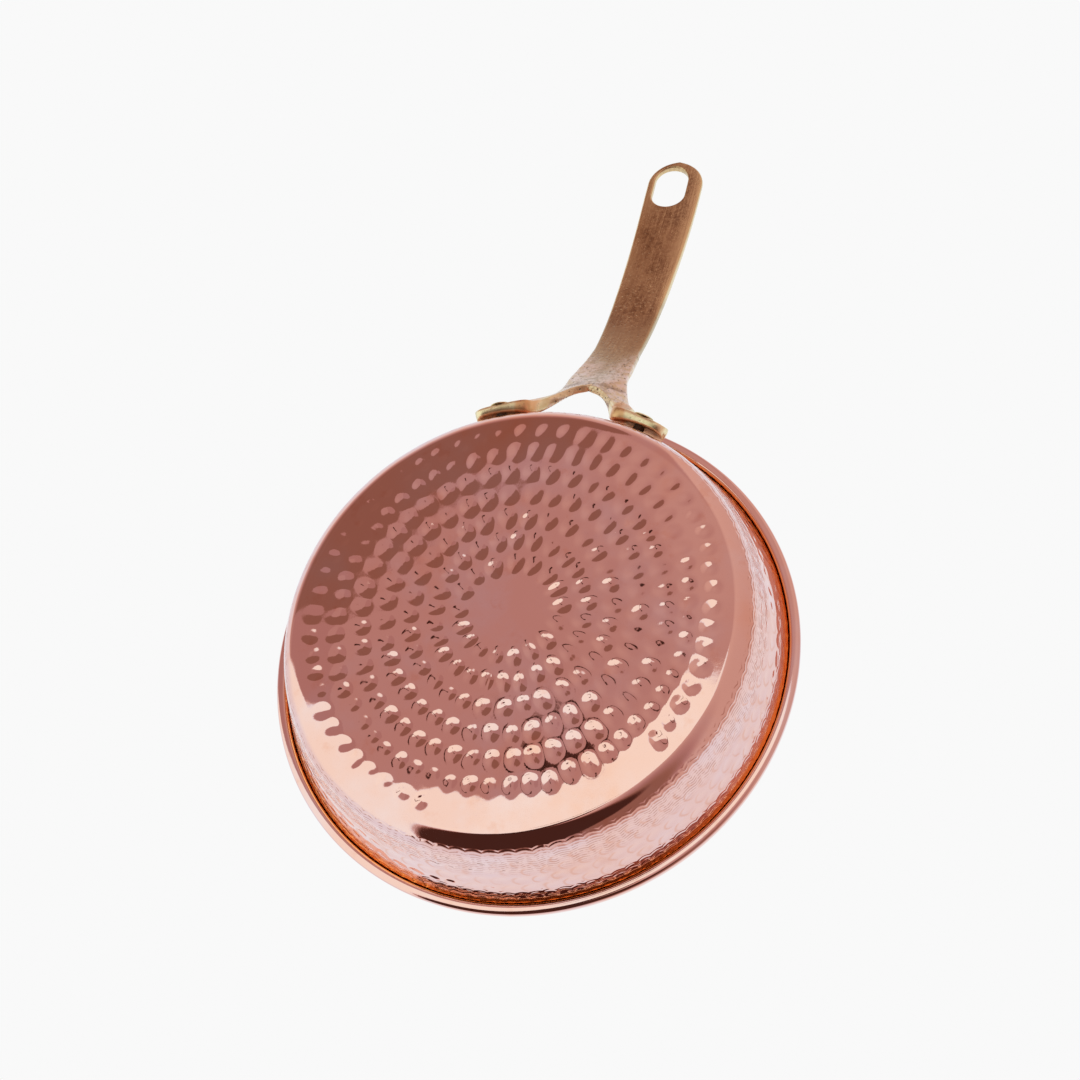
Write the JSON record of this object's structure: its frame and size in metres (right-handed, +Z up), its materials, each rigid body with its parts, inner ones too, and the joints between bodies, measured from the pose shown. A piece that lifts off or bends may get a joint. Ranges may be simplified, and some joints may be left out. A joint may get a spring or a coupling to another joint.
{
  "type": "frying pan",
  "caption": "Round hammered copper frying pan with a flat base, low flared wall, rolled rim and a long forked brass handle riveted on, with a slot to hang it by.",
  "frame": {"origin": "centre of the flat base's underside, on the pan's axis", "axes": "+Z up out of the pan's mouth, +X out along the handle, +Y to the left of a cook who holds the handle and faces the pan's centre from its end"},
  "size_m": [0.4419, 0.24, 0.0856],
  "materials": {
    "copper": "polished copper, hammered, with an even pattern of shallow dents on the base",
    "tin": "hand-wiped tin, dull silver grey",
    "steel_wire": "plain drawn wire",
    "handle_brass": "sand-cast brass, filed and part polished, speckled near the fork",
    "rivet_brass": "brass, hammered over and dulled"
  },
  "bodies": {
    "root": {"pan_body": "copper", "tin_lining": "tin", "rim_wire": "steel_wire", "handle": "handle_brass", "rivet_left": "rivet_brass", "rivet_right": "rivet_brass"}
  },
  "joints": []
}
